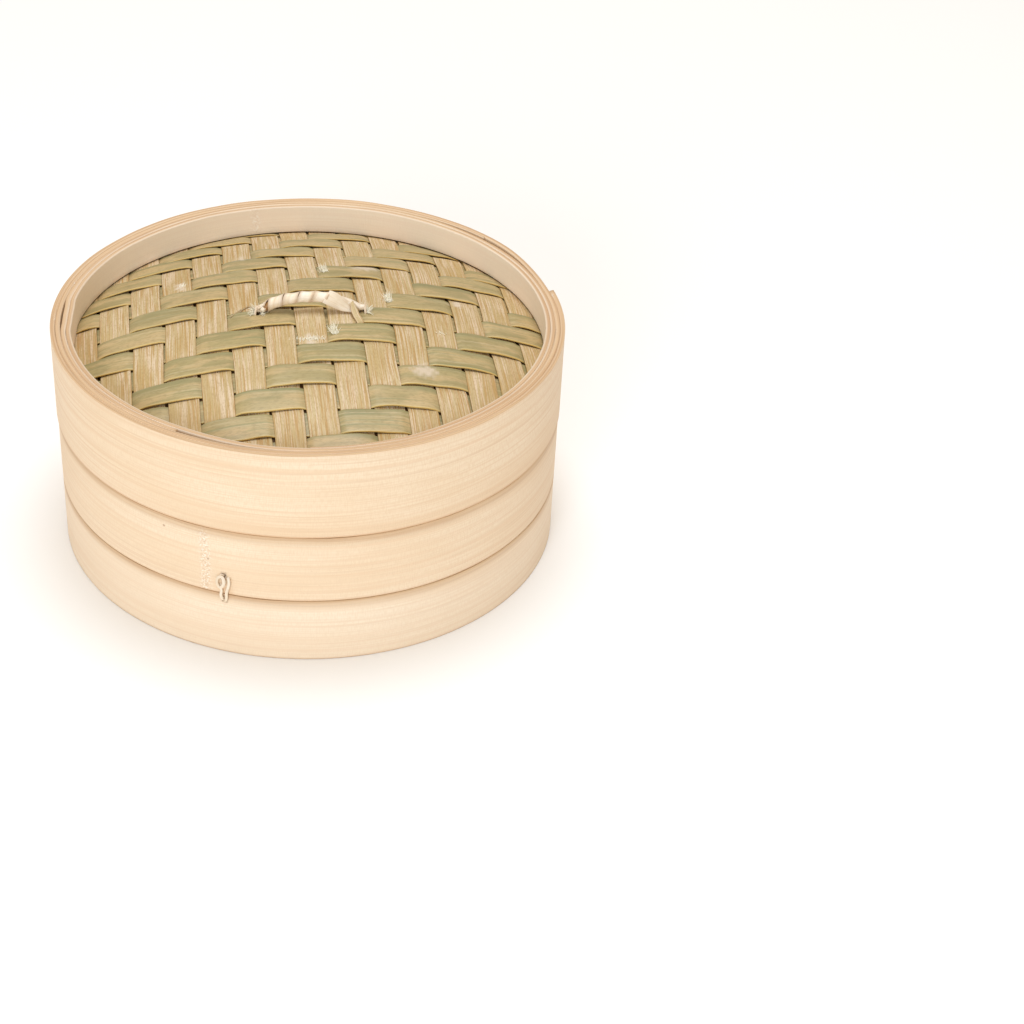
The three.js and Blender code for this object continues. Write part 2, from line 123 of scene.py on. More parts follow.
class Paint:
    """A material's node tree, in short calls. A value given to a call is a number, a colour or a socket."""

    def __init__(self, name, colour=None):
        self.colour = colour
        self.material = bpy.data.materials.new(name)
        self.material.use_nodes = True
        self.tree = self.material.node_tree
        self.tree.nodes.clear()

    def node(self, kind, inputs, **settings):
        made = self.tree.nodes.new("ShaderNode" + kind)
        for key, value in settings.items():
            setattr(made, key, value)
        for key, value in inputs.items():
            self.feed(made.inputs[key], value)
        return made

    def feed(self, socket, value):
        if isinstance(value, bpy.types.NodeSocket):
            self.tree.links.new(value, socket)
        else:
            socket.default_value = value

    def number(self, name):
        return self.node("Attribute", {}, attribute_name=name).outputs["Fac"]

    def grain(self, along, across, depth):
        """The piece's own grain coordinates, divided by how long one feature is each way, in metres."""
        place = self.node("Attribute", {}, attribute_name="grain").outputs["Vector"]
        scale = (1 / along, 1 / across, 1 / depth)
        return self.node("VectorMath", {0: place, 1: scale}, operation="MULTIPLY").outputs[0]

    def from_point(self, place):
        """Distance from a place on the object at rest."""
        here = self.node("TexCoord", {}).outputs["Object"]
        return self.node("VectorMath", {0: here, 1: tuple(place)}, operation="DISTANCE").outputs["Value"]

    def noise(self, vector, scale=1.0, detail=2.0, roughness=0.5, distortion=0.0):
        inputs = {"Vector": vector, "Scale": scale, "Detail": detail}
        inputs.update({"Roughness": roughness, "Distortion": distortion})
        return self.node("TexNoise", inputs).outputs["Fac"]

    def math(self, operation, a, b=0.0):
        return self.node("Math", {0: a, 1: b}, operation=operation).outputs[0]

    def rise(self, value, low, high):
        """0 below low and 1 above high, with a smooth step between them."""
        inputs = {"Value": value, "From Min": low, "From Max": high}
        return self.node("MapRange", inputs, interpolation_type="SMOOTHSTEP").outputs["Result"]

    def spots(self, size, low, high, **look):
        """Noise in the grain's coordinates: 0 where it is below low and 1 where it is above high."""
        return self.rise(self.noise(self.grain(*size), **look), low, high)

    def line(self, value, slope, start):
        return self.math("ADD", self.math("MULTIPLY", value, slope), start)

    def tint(self, share, strength, shade):
        """Mixes up to strength of a shade into the colour so far, as share goes from 0 to 1."""
        self.colour = self.mix(self.math("MULTIPLY", share, strength), self.colour, shade)

    def mix(self, share, a, b, blend="MIX"):
        made = self.node("Mix", {"Factor": share}, data_type="RGBA", blend_type=blend)
        colours = [s for s in made.inputs if s.type == "RGBA"]
        self.feed(colours[0], a)
        self.feed(colours[1], b)
        return [s for s in made.outputs if s.type == "RGBA"][0]

    def shade(self, roughness, height=None, depth=0.0002, specular=0.4):
        """The finished surface in the colour so far. Bumps of height 1 are depth metres tall."""
        inputs = {"Base Color": self.colour, "Roughness": roughness, "Specular IOR Level": specular}
        surface = self.node("BsdfPrincipled", inputs)
        if height is not None:
            bump = self.node("Bump", {"Height": height, "Distance": depth, "Strength": 1.0})
            self.feed(surface.inputs["Normal"], bump.outputs["Normal"])
        output = self.node("OutputMaterial", {"Surface": surface.outputs[0]})
        output.is_active_output = True


def on_wall(angle, height, radius=124.3 * MM):
    return (radius * math.cos(angle), radius * math.sin(angle), height)


BAMBOO_JOINTS = 0.41  # between the nodes of the bamboo, along a strip
# Where the painted orange shade round the tie on the body band is centred
TIE_SHADE_CENTRE = on_wall(-108.6 * DEGREE, 35.5 * MM)
# Small dark marks on the body band: (place, radius)
BAND_MARKS = [
    (on_wall(-112.3 * DEGREE, 52.5 * MM), 0.6 * MM), (on_wall(-122.8 * DEGREE, 64 * MM), 0.7 * MM)
]


def bamboo_joint(paint, half):
    """1 on a node of the bamboo, falling to 0 at half to either side of it."""
    distance = paint.number("from_joint")
    turned = paint.math("PINGPONG", distance, BAMBOO_JOINTS / 2)
    return paint.math("SUBTRACT", 1.0, paint.rise(turned, 0.0, half))


def hoop_paint():
    """Planed bamboo strip: pale, with fine fibres, darker lines and faint marks of its nodes."""
    paint = Paint("hoop_bamboo")
    cream, warm = (srgb(242, 220, 190), srgb(236, 208, 172))
    fibre, line, scar_brown = (srgb(229, 198, 160), srgb(212, 172, 130), srgb(178, 130, 88))
    low = paint.number("low")
    patches = paint.spots((0.11, 0.03, 0.02), 0.35, 0.72, detail=3)
    paint.colour = paint.mix(patches, cream, warm)
    paint.tint(low, 0.4, fibre)
    fine = paint.noise(paint.grain(0.05, 0.0007, 0.0007), detail=4, roughness=0.65)
    paint.tint(paint.rise(fine, 0.46, 0.66), 0.65, fibre)
    where = paint.spots((0.12, 0.015, 0.02), 0.36, 0.6)
    where = paint.math("MAXIMUM", where, low)
    sparse = paint.spots((0.3, 0.0014, 0.002), 0.52, 0.66, detail=3, roughness=0.6)
    lines = paint.math("MULTIPLY", sparse, where)
    paint.tint(lines, 0.36, line)
    strands = paint.spots((0.4, 0.0017, 0.002), 0.48, 0.6, detail=3, roughness=0.75)
    paint.tint(strands, 0.5, srgb(228, 190, 148))
    saw = paint.spots((0.0006, 0.0032, 0.001), 0.42, 0.64)
    paint.tint(saw, 0.5, fibre)
    speck = paint.spots((0.0035, 0.0008, 0.001), 0.73, 0.8, detail=1)
    paint.tint(speck, 0.35, line)
    joint = bamboo_joint(paint, 4.4 * MM)
    scar = paint.spots((0.0016, 0.0011, 0.002), 0.48, 0.62, detail=3, roughness=0.7)
    scarred = paint.math("MULTIPLY", joint, scar)
    paint.tint(scarred, 0.7, line)
    pale = paint.spots((0.0014, 0.0013, 0.002), 0.5, 0.62, scale=1.4)
    paint.tint(paint.math("MULTIPLY", joint, pale), 0.95, srgb(255, 243, 228))
    # Painted shade: an orange patch round the tie on the body band
    tie_shade = paint.math("SUBTRACT", 1.0, paint.rise(paint.from_point(TIE_SHADE_CENTRE), 1.5 * MM, 6 * MM))
    paint.tint(tie_shade, 0.45, srgb(226, 180, 130))
    for place, size in BAND_MARKS:
        mark = paint.math("SUBTRACT", 1.0, paint.rise(paint.from_point(place), 0.4 * size, 1.3 * size))
        paint.tint(mark, 0.85, scar_brown)
    # pale lightens whole strips: partly their own paler tone, partly painted light on the press ring in the
    # lid's recess and on the body and foot bands lit from the floor
    paint.tint(paint.number("pale"), 1.0, srgb(250, 240, 226))
    edge = paint.number("edge")
    lamina = paint.spots((0.09, 0.002, 0.0005), 0.42, 0.6, detail=3)
    edge_colour = paint.mix(lamina, srgb(200, 164, 126), srgb(216, 184, 146))
    paint.tint(edge, 1.0, edge_colour)
    # Painted shadow line along the lower edge of the lid's hoop and of the body band, where each meets the
    # band below
    paint.tint(paint.number("seam"), 1.0, srgb(206, 160, 116))
    height = paint.math("SUBTRACT", fine, scarred)
    height = paint.math("SUBTRACT", height, paint.math("MULTIPLY", lines, 0.5))
    height = paint.math("SUBTRACT", height, paint.math("MULTIPLY", saw, 0.35))
    roughness = paint.line(fine, 0.16, 0.52)
    paint.shade(roughness, height, 0.00008, 0.4)
    return paint.material


def floor_paint():
    """Split bamboo of the slats and bars: yellower, with straight grain."""
    paint = Paint("floor_bamboo")
    fine = paint.noise(paint.grain(0.06, 0.0009, 0.0009), detail=4, roughness=0.6)
    broad = paint.noise(paint.grain(0.12, 0.008, 0.01))
    paint.colour = paint.mix(paint.rise(broad, 0.35, 0.7), srgb(246, 226, 186), srgb(232, 206, 158))
    paint.tint(paint.rise(fine, 0.5, 0.72), 0.6, srgb(206, 168, 112))
    paint.tint(bamboo_joint(paint, 2.2 * MM), 0.5, srgb(196, 152, 96))
    paint.tint(paint.number("edge"), 0.4, srgb(238, 216, 176))
    paint.shade(paint.line(fine, 0.2, 0.45), fine, 0.00012, 0.35)
    return paint.material


def warp_paint():
    """Inner bamboo of the front-to-back strands: cream with close pale and golden fibres."""
    paint = Paint("warp_bamboo")
    base = paint.mix(paint.number("tone"), srgb(204, 184, 142), srgb(192, 168, 122))
    patch = paint.spots((0.03, 0.012, 0.01), 0.38, 0.68, detail=3)
    paint.colour = base
    paint.tint(patch, 0.6, srgb(186, 158, 102))
    streak = paint.noise(paint.grain(0.04, 0.00085, 0.001), roughness=0.55)
    less = paint.math("SUBTRACT", 1.0, paint.math("MULTIPLY", patch, 0.6))
    pale = paint.math("MULTIPLY", paint.rise(streak, 0.47, 0.56), less)
    paint.tint(pale, 0.75, srgb(224, 202, 176))
    golden = paint.spots((0.035, 0.0007, 0.0012), 0.52, 0.61, scale=1.3)
    paint.tint(golden, 0.8, srgb(182, 142, 82))
    fleck = paint.noise(paint.grain(0.0016, 0.0006, 0.001))
    paint.tint(paint.rise(fleck, 0.45, 0.7), 0.4, srgb(164, 136, 92))
    paint.tint(paint.number("worn"), 1.0, srgb(228, 214, 196))
    paint.tint(paint.number("edge"), 0.75, srgb(170, 128, 68))
    height = paint.math("ADD", streak, paint.math("MULTIPLY", fleck, 0.4))
    roughness = paint.line(streak, 0.25, 0.45)
    paint.shade(roughness, height, 0.0002, 0.35)
    return paint.material


def weft_paint():
    """Outer skin of the side-to-side strands: green tan, greener at the far edge, yellow at the near."""
    paint = Paint("weft_bamboo")
    base = paint.mix(paint.number("tone"), srgb(172, 156, 108), srgb(196, 172, 126))
    broad = paint.noise(paint.grain(0.05, 0.007, 0.01), detail=3)
    paint.colour = paint.mix(paint.rise(broad, 0.35, 0.68), base, srgb(158, 144, 98))
    tan = paint.spots((0.034, 0.012, 0.01), 0.47, 0.6, scale=1.7)
    paint.tint(tan, 0.65, srgb(200, 172, 124))
    across = paint.number("across")
    ragged = paint.math("ADD", across, paint.math("MULTIPLY", paint.math("SUBTRACT", broad, 0.5), 1.3))
    green = paint.rise(ragged, 0.3, 1.0)
    paint.tint(green, 0.6, srgb(132, 132, 92))
    fine = paint.noise(paint.grain(0.05, 0.0011, 0.001), detail=3, roughness=0.6)
    paint.tint(paint.rise(fine, 0.5, 0.68), 0.45, srgb(200, 184, 146))
    lines = paint.spots((0.09, 0.0016, 0.001), 0.6, 0.68)
    paint.tint(lines, 0.45, srgb(126, 132, 90))
    fleck = paint.noise(paint.grain(0.0022, 0.0007, 0.001))
    paint.tint(paint.rise(fleck, 0.45, 0.7), 0.4, srgb(144, 126, 84))
    paint.tint(paint.number("worn"), 1.0, srgb(222, 204, 184))
    near = paint.rise(paint.math("MULTIPLY", across, -1.0), 0.84, 0.95)
    paint.tint(near, 0.55, srgb(210, 186, 122))
    paint.tint(paint.number("edge"), 0.85, srgb(206, 172, 98))
    height = paint.math("ADD", fine, paint.math("MULTIPLY", fleck, 0.5))
    roughness = paint.line(fine, 0.25, 0.3)
    paint.shade(roughness, height, 0.0001, 0.5)
    return paint.material


def mat_paint():
    """Thin split strips of the mat under the lid."""
    paint = Paint("mat_bamboo")
    fine = paint.noise(paint.grain(0.03, 0.0007, 0.0007), detail=3, roughness=0.6)
    base = paint.mix(paint.number("tone"), srgb(232, 208, 162), srgb(214, 186, 134))
    paint.colour = paint.mix(paint.rise(fine, 0.45, 0.7), base, srgb(196, 158, 102))
    paint.tint(paint.number("edge"), 0.5, srgb(190, 150, 92))
    paint.shade(paint.line(fine, 0.2, 0.5), fine, 0.00012, 0.3)
    return paint.material


def leaf_paint():
    """The dried leaf between the weave and the mat: brownish green with close parallel veins, its darkness
    partly its own colour and partly painted shade for the gaps in the weave.
    """
    paint = Paint("dry_leaf")
    veins = paint.noise(paint.grain(0.08, 0.0018, 0.002))
    blotch = paint.noise(paint.grain(0.03, 0.02, 0.02), detail=4)
    # Dark browns, partly painted shade where the leaf shows through the weave
    paint.colour = paint.mix(paint.rise(blotch, 0.3, 0.7), srgb(96, 66, 32), srgb(70, 46, 22))
    paint.tint(paint.rise(veins, 0.55, 0.65), 0.5, srgb(142, 114, 68))
    paint.shade(paint.line(blotch, 0.2, 0.55), veins, 0.0002, 0.3)
    return paint.material


def cane_paint():
    """Split cane: pale and smooth, with faint lengthwise fibres and darker edges."""
    paint = Paint("cane")
    fine = paint.noise(paint.grain(0.012, 0.0005, 0.0005), detail=3, roughness=0.6)
    broad = paint.noise(paint.grain(0.01, 0.004, 0.004))
    paint.colour = paint.mix(paint.rise(broad, 0.3, 0.7), srgb(250, 238, 220), srgb(240, 222, 195))
    paint.tint(paint.rise(fine, 0.52, 0.7), 0.5, srgb(216, 188, 148))
    paint.tint(paint.number("edge"), 1.0, srgb(160, 116, 66))
    paint.shade(paint.line(fine, 0.2, 0.36), fine, 0.00008, 0.45)
    return paint.material


def tuft_paint():
    """Loose torn fibres, nearly white."""
    paint = Paint("torn_fibre")
    fine = paint.noise(paint.grain(0.0015, 0.0003, 0.0003))
    paint.colour = paint.mix(paint.rise(fine, 0.4, 0.65), srgb(250, 246, 230), srgb(236, 228, 204))
    paint.shade(paint.line(fine, 0.2, 0.6), fine, 3e-05, 0.3)
    return paint.material


# ---- Mesh building ----


def as_points(x, y, z):
    """Three coordinates, of shapes that match each other, as one array of points."""
    return np.stack(np.broadcast_arrays(x, y, z), axis=-1)


def ease(t):
    """Smooth step from 0 to 1 while t goes from 0 to 1."""
    t = np.clip(t, 0, 1)
    return t * t * (3 - 2 * t)


def wobble(rng, s, wavelength, amount):
    """A slow random wave along s."""
    waves = [np.sin(2 * math.pi * (s / (wavelength * k) + rng.random())) for k in (1.0, 0.61, 0.37)]
    return amount * (waves[0] + 0.6 * waves[1] + 0.35 * waves[2]) / 1.6


def rounded_section(width, height, corner, steps=3, supports=(0.3,)):
    """The outline of a strip, anticlockwise from the middle of its top, as (across, up) pairs.
    supports are further points on each long face, as shares of the half width."""
    half_width, half_height = width / 2, height / 2
    quarter = [
        (half_width - corner * (1 - math.cos(a)), half_height - corner * (1 - math.sin(a)))
        for a in np.linspace(0, math.pi / 2, steps + 1)
    ]
    shares = sorted(set(supports) | {0.0})
    inner = [(half_width * share, half_height) for share in reversed(shares)]
    right = quarter + inner
    top = right + [(-x, y) for x, y in reversed(right[:-1])]
    return np.array(top + [(-x, -y) for x, y in top])


def skin_faces(rings, first=0):
    """The faces of a closed skin over rings, an array of (stations, points round, 3), facing outwards."""
    stations, around = rings.shape[:2]
    index = np.arange(stations * around).reshape(stations, around) + first
    ahead = np.roll(index, -1, axis=1)
    quads = np.stack([index[:-1], ahead[:-1], ahead[1:], index[1:]], axis=-1).reshape(-1, 4).tolist()
    faces = quads + [index[0][::-1].tolist(), index[-1].tolist()]
    points = (rings - rings.mean((0, 1))).reshape(-1, 3)
    volume = 0.0
    for group in (np.array(quads), np.array(faces[len(quads) :])):
        corners = points[group - first]
        fans = np.cross(corners[:, 1:-1], corners[:, 2:])
        volume += (corners[:, :1] * fans).sum()
    return faces if volume > 0 else [face[::-1] for face in faces]


def add_piece(node, rings, body, slot, paint, **attributes):
    """The look of a node of the frame, as one skin over rings."""
    return add_mesh("look_" + node, rings, skin_faces(rings), body, paint, [node], attributes)


def add_mesh(name, points, faces, body, paint, replaces, attributes):
    """A mesh of quads and flat end caps that rides on a body. Each attribute spreads over its points."""
    mesh = bpy.data.meshes.new(name)
    mesh.from_pydata(points.reshape(-1, 3).tolist(), [], faces)
    mesh.polygons.foreach_set("use_smooth", [len(face) == 4 for face in faces])
    for key, values in attributes.items():
        kind, field, shape = "FLOAT", "value", points.shape[:-1]
        if key == "grain":
            kind, field, shape = "FLOAT_VECTOR", "vector", points.shape
        made = mesh.attributes.new(key, kind, "POINT")
        made.data.foreach_set(field, np.broadcast_to(values, shape).astype(np.float32).ravel())
    mesh.materials.append(paint)
    mesh.update()
    piece = bpy.data.objects.new(name, mesh)
    bpy.context.scene.collection.objects.link(piece)
    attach(piece, body)
    if replaces:
        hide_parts(*replaces)
    return piece


def add_strands(name, parts, place, body, paint, replaces=(), edge=1.0, base=0.0):
    """Several (rings, attributes) as one piece, put in place. edge and base darken its edges."""
    points, faces, joined, made = [], [], {}, 0
    for rings, attributes in parts:
        faces += skin_faces(rings, made)
        points.append(rings.reshape(-1, 3))
        made += len(points[-1])
        for key, values in attributes.items():
            shape = rings.shape if key == "grain" else rings.shape[:2]
            joined.setdefault(key, []).append(np.broadcast_to(values, shape).reshape(-1, *shape[2:]))
    attributes = {key: np.concatenate(values) for key, values in joined.items()}
    attributes["edge"] = base + edge * attributes["edge"]
    return add_mesh(name, place(np.concatenate(points)), faces, body, paint, replaces, attributes)


def node_points(node):
    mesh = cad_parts[node].data
    points = np.empty(len(mesh.vertices) * 3, np.float32)
    mesh.vertices.foreach_get("co", points)
    return points.reshape(-1, 3).astype(float)


def cut_holes(pieces, cutter):
    """Takes the cutter's solid out of each piece."""
    bpy.context.view_layer.update()
    for piece in pieces:
        modifier = piece.modifiers.new("holes", "BOOLEAN")
        modifier.operation = "DIFFERENCE"
        modifier.solver = "EXACT"
        modifier.object = cutter
        bpy.context.view_layer.update()
        cut = bpy.data.meshes.new_from_object(piece.evaluated_get(bpy.context.evaluated_depsgraph_get()))
        piece.modifiers.clear()
        old = piece.data
        piece.data = cut
        bpy.data.meshes.remove(old)
    bpy.data.objects.remove(cutter)


# ---- Wound hoops ----

HOOP_STRIP = 2.28 * MM
SCARF_TIP = 0.6 * MM  # of the strip's thickness left at its inner end
SCARF_LENGTH = 37.5 * DEGREE
TURN_GAP = 0.14 * MM
HOOP_STEPS = 240  # for each turn
LAP_START, LAP_END = 330 * DEGREE, 360 * DEGREE  # where the strip steps in under its own end
HOOP_LENGTH = 690 * DEGREE
LOW_SHADE_HEIGHT = 9 * MM  # how far the darker foot of a strip goes up
SEAM_SHADE_HEIGHT = 0.9 * MM  # of the painted shadow line along its lower edge
CREVICE_DEPTH = 0.95 * MM  # of the press ring's dent, which opens a crevice inside the lid's hoop
CREVICE_HALF_ANGLE = 6 * DEGREE


def hoop_section(height, corner):
    """(share of the thickness, height above the bottom) round a strip, from low on the outer face."""
    arc = np.linspace(0, math.pi / 2, 4)[1:]
    span = height - 2 * corner
    shares = (0.0, 0.5 * MM / span, 1.2 * MM / span, 0.15, 0.35, 0.65, 0.85, 1.0)
    outer = [(0.0, corner + span * share) for share in shares]
    rounded = [(corner * (1 - math.cos(a)), height - corner * (1 - math.sin(a))) for a in arc]
    half = outer + rounded + [(HOOP_STRIP / 2, height)]
    turned = [(HOOP_STRIP - x, height - y) for x, y in half]
    return np.array(half + turned)


def wound_hoop(
    node, lap_angle, body, paint, seed, joint_at,
    low_shade=0.25, pale=0.1, seam=0, sink=0, corner=0.3 * MM, crevice_at=None,
):
    """
    A strip wound twice round, clockwise from above, its outer end at lap_angle, a node at joint_at.
    It reaches down past the frame's node by sink. low_shade, pale and seam, from 0 to 1, tell its colour:
    seam paints a shadow line along its lower edge, and pale is partly the strip's own paler tone and partly
    painted light.
    """
    rng = np.random.default_rng(seed)
    low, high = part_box(node)
    tall = high.z - low.z
    outer = max(high.x, high.y, -low.x, -low.y)
    section = hoop_section(tall, corner)
    stations = int(HOOP_STEPS * HOOP_LENGTH / (2 * math.pi))
    turned = np.linspace(0, HOOP_LENGTH, stations + 1)[:, None]
    step_in = (HOOP_STRIP + TURN_GAP) * ease((turned - LAP_START) / (LAP_END - LAP_START))
    pared = 1 - (1 - SCARF_TIP / HOOP_STRIP) * ease((turned - HOOP_LENGTH + SCARF_LENGTH) / SCARF_LENGTH)
    radius = outer - step_in - section[:, 0] * pared
    radius = radius - np.abs(wobble(rng, turned, 0.9, 0.05 * MM)) * ease(turned / 0.3)
    angle = lap_angle - turned
    if crevice_at is not None:
        off = (angle - crevice_at + math.pi) % (2 * math.pi) - math.pi
        radius = radius - CREVICE_DEPTH * np.exp(-((off / CREVICE_HALF_ANGLE) ** 4))
    share = section[:, 1] / tall
    top_wave = wobble(rng, turned, 0.7, 0.14 * MM) - 0.14 * MM
    bottom_wave = wobble(rng, turned, 0.8, 0.05 * MM) - sink
    if low.z < 1 * MM:  # the foot stays flat on the table
        bottom_wave = 0 * bottom_wave
    z = low.z + section[:, 1] + top_wave * share + bottom_wave * (1 - share) + 0 * radius
    rings = as_points(radius * np.cos(angle), radius * np.sin(angle), z)
    along = turned * outer + 0 * radius
    up = section[:, 1] + 0 * radius
    grain = as_points(along, up, section[:, 0] + 0.37 * seed)
    first = ((lap_angle - joint_at) % (2 * math.pi)) * outer
    from_joint = along - first + 0.8 * MM * np.sin(up / (9 * MM))
    depth_share = section[:, 0] / HOOP_STRIP
    on_edge = np.abs(up - tall / 2) > tall / 2 - 0.2 * MM
    return add_piece(
        node, rings, body, "hoop_bamboo", paint,
        grain=grain, edge=on_edge, from_joint=from_joint, pale=pale,
        low=low_shade * np.exp(-((up / LOW_SHADE_HEIGHT) ** 2)),
        seam=seam * np.exp(-((up / SEAM_SHADE_HEIGHT) ** 2)) * (depth_share < 0.3),
    )


# ---- The lid's weave ----

WEAVE_TURN = 4.5 * DEGREE
STRAND_STATIONS = 230
LIFT = 0.54 * MM  # of a strand where it passes over another
WARP_ARCH, WEFT_ARCH = 0.15 * MM, 0.55 * MM  # more in the middle of a float
WARP_CROWN, WEFT_CROWN = 0.1 * MM, 0.05 * MM  # of the middle of a strand over its edges
WEFT_SPREAD = 1.01  # of the width of a weft in the frame
# Places where the bamboo's surface is torn and pale: (u, v, radius along the strand, radius across it)
WORN_SPOTS = [
    (50 * MM, -52 * MM, 6 * MM, 4 * MM),
    (-2 * MM, -30 * MM, 7 * MM, 1.5 * MM),
    (31 * MM, 44 * MM, 7 * MM, 3 * MM),
    (-62 * MM, 38 * MM, 5 * MM, 2 * MM),
    (-30 * MM, 62 * MM, 5 * MM, 1.5 * MM),
    (74 * MM, 12 * MM, 4 * MM, 2 * MM),
]
BEND = 2.7 * MM  # half the length in which a strand steps up or down
LINING_THICKNESS = 0.4 * MM
WARP_NODES = [f"weave_warp_{i + 1:02d}" for i in range(15)]
WEFT_NODES = [f"weave_weft_{i + 1:02d}" for i in range(16)]


def turn_points(points, angle):
    c, s = math.cos(angle), math.sin(angle)
    x, y = points[..., 0], points[..., 1]
    return as_points(c * x - s * y, s * x + c * y, points[..., 2])


class Weave:
    """Where the strands lie, read from the frame: u runs along the wefts and v along the warps."""

    def __init__(self):
        low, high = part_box("lid_lining_leaf")
        self.radius = high.x
        drop = high.z - LINING_THICKNESS - low.z
        self.curve = (self.radius**2 + drop**2) / (2 * drop)
        ends = [self.across(WARP_NODES[k], 0) for k in (0, 7, 14)]
        self.pitch = (ends[2][0] - ends[0][0]) / 14
        self.shift = ends[1][0]
        warps_top = node_points(WARP_NODES[7])[:, 2].max()
        wefts_top = node_points(WEFT_NODES[7])[:, 2].max()
        self.lining_peak = high.z
        self.peak = max(warps_top, wefts_top) - 0.85 * MM

    def across(self, node, axis):
        """(middle, width) of a strand across its length."""
        points = turn_points(node_points(node), -WEAVE_TURN)[:, axis]
        return (points.max() + points.min()) / 2, points.max() - points.min()

    def height(self, x, y):
        return self.peak - self.curve + np.sqrt(self.curve**2 - x**2 - y**2)

    def warp_at(self, i):
        return i * self.pitch + self.shift

    def weft_at(self, j):
        return (j + 0.5) * self.pitch

    @staticmethod
    def weft_over(i, j):
        return (i - j - 3) % 4 < 2


def stepped(s, places, sides, half):
    """The side, +1 or -1, that a strand lies on along s, changing smoothly midway between crossings."""
    level = np.full_like(s, float(sides[0]))
    for before, after, a, b in zip(sides, sides[1:], places, places[1:]):
        level += (after - before) * ease((s - (a + b) / 2) / (2 * half) + 0.5)
    return level


def add_strand(weave, node, kind, order, paint):
    rng = np.random.default_rng(1000 + order + (500 if kind == "weft" else 0))
    is_warp = kind == "warp"
    middle, width = weave.across(node, 0 if is_warp else 1)
    index = order - 7 if is_warp else order - 8
    if is_warp:
        crossed = range(-9, 9)
        places = [weave.weft_at(j) for j in crossed]
        sides = [-1 if weave.weft_over(index, j) else 1 for j in crossed]
    else:
        crossed = range(-9, 10)
        places = [weave.warp_at(i) for i in crossed]
        sides = [1 if weave.weft_over(i, index) else -1 for i in crossed]
    thick = 0.6 * MM if is_warp else 0.74 * MM
    width *= 0.98 if is_warp else WEFT_SPREAD
    section = rounded_section(width, thick, 0.26 * MM, 2, (0.0, 0.3, 0.6, 0.85))
    across = section[:, 0] / (width / 2)
    t = np.linspace(-1, 1, STRAND_STATIONS)[:, None]
    rough = t * math.sqrt(max(weave.radius**2 - middle**2, 1e-6))
    wander = wobble(rng, rough, 0.11, 0.32 * MM)
    spread = 1 + wobble(rng, rough, 0.07, 0.018)
    limit = weave.radius - 0.6 * MM
    offset = np.clip(middle + wander + section[:, 0] * spread, -limit, limit)
    s = t * np.sqrt(weave.radius**2 - offset**2)
    x, y = (offset, s) if is_warp else (s, offset)
    distance = np.hypot(x, y)
    held = ease((weave.radius - 1.5 * MM - distance) / (8 * MM))
    tilt = wobble(rng, rough, 0.04, 0.3 * MM)
    crown = WARP_CROWN if is_warp else WEFT_CROWN
    lift = stepped(s, places, sides, BEND) * (LIFT - 0.12 * MM * (1 - held))
    arch = WARP_ARCH if is_warp else WEFT_ARCH
    lift += np.maximum(0, stepped(s, places, sides, 8.5 * MM)) * arch * held
    lift += (tilt * across - crown * across**2) * held
    z = weave.height(x, y) + lift + section[:, 1]
    worn = 0 * s + 0 * offset
    for u, v, reach_along, reach_across in WORN_SPOTS:
        away_along, away_across = (y - v, x - u) if is_warp else (x - u, y - v)
        away = np.hypot(away_along / reach_along, away_across / reach_across)
        away = away + 0.35 * np.sin(s / (0.7 * MM)) * np.sin(offset / (0.5 * MM) + s / (3 * MM))
        worn = np.maximum(worn, 0.75 * ease(1.4 - away))
    rings = turn_points(as_points(x, y, z), WEAVE_TURN)
    grain = as_points(s, section[:, 0], section[:, 1] + 0.61 * order)
    return add_piece(
        node, rings, "lid", kind + "_bamboo", paint,
        grain=grain, across=across, edge=np.abs(across) > 0.965, worn=worn, tone=rng.random(),
    )


def add_lining(weave, paint):
    """The leaf sheet, slightly wrinkled, as a thin closed lens of rings."""
    rings_out, around = 40, 96
    radii = np.linspace(0.0005, weave.radius - 0.3 * MM, rings_out)
    angles = np.linspace(0, 2 * math.pi, around, endpoint=False)
    x = radii[:, None] * np.cos(angles)
    y = radii[:, None] * np.sin(angles)
    drop = weave.curve - np.sqrt(weave.curve**2 - x**2 - y**2)
    wrinkle = 0.05 * MM * np.sin(x / 0.004) * np.sin(y / 0.009)
    top = as_points(x, y, weave.lining_peak - drop + wrinkle)
    bottom = top - np.array([0, 0, 0.3 * MM])
    skin = np.concatenate([top, bottom[::-1]])
    return add_piece("lid_lining_leaf", skin, "lid", "dry_leaf", paint, grain=skin)


def add_undermat(weave, paint):
    """Thin split strips woven two ways on the diagonal under the lining, as one mat."""
    _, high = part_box("lid_undermat")
    spacing, width, thick, stations = 7.2 * MM, 3.6 * MM, 0.42 * MM, 110
    middle = high.z - 0.6 * MM
    parts = []
    limit = weave.radius - 1.0 * MM
    count = int(limit / spacing)
    section = rounded_section(width, thick, 0.16 * MM, 1, (0.0, 0.6))
    for family in (0, 1):
        for k in range(-count, count + 1):
            rng = np.random.default_rng(3000 + 100 * family + k)
            centre = k * spacing
            reach = math.sqrt(max(limit**2 - (abs(centre) + width / 2) ** 2, 0))
            if reach < 4 * MM:
                continue
            s = np.linspace(-reach, reach, stations)[:, None] + 0 * section[:, 0]
            offset = centre + section[:, 0] + wobble(rng, s, 0.06, 0.25 * MM)
            x, y = (offset, s) if family == 0 else (s, offset)
            phase = np.cos(math.pi * s / spacing) * (1 if (k + family) % 2 else -1)
            drop = weave.curve - np.sqrt(weave.curve**2 - x**2 - y**2)
            z = middle - drop + phase * 0.3 * MM + section[:, 1]
            grain = as_points(s, section[:, 0], section[:, 1] + 0.41 * k + 9 * family)
            edge = np.abs(section[:, 0]) > 0.46 * width
            parts.append((as_points(x, y, z), {"grain": grain, "tone": rng.random(), "edge": edge}))
    place = partial(turn_points, angle=WEAVE_TURN + math.pi / 4)
    add_strands("look_lid_undermat", parts, place, "lid", paint, ["lid_undermat"])


# ---- Strands of cane ----


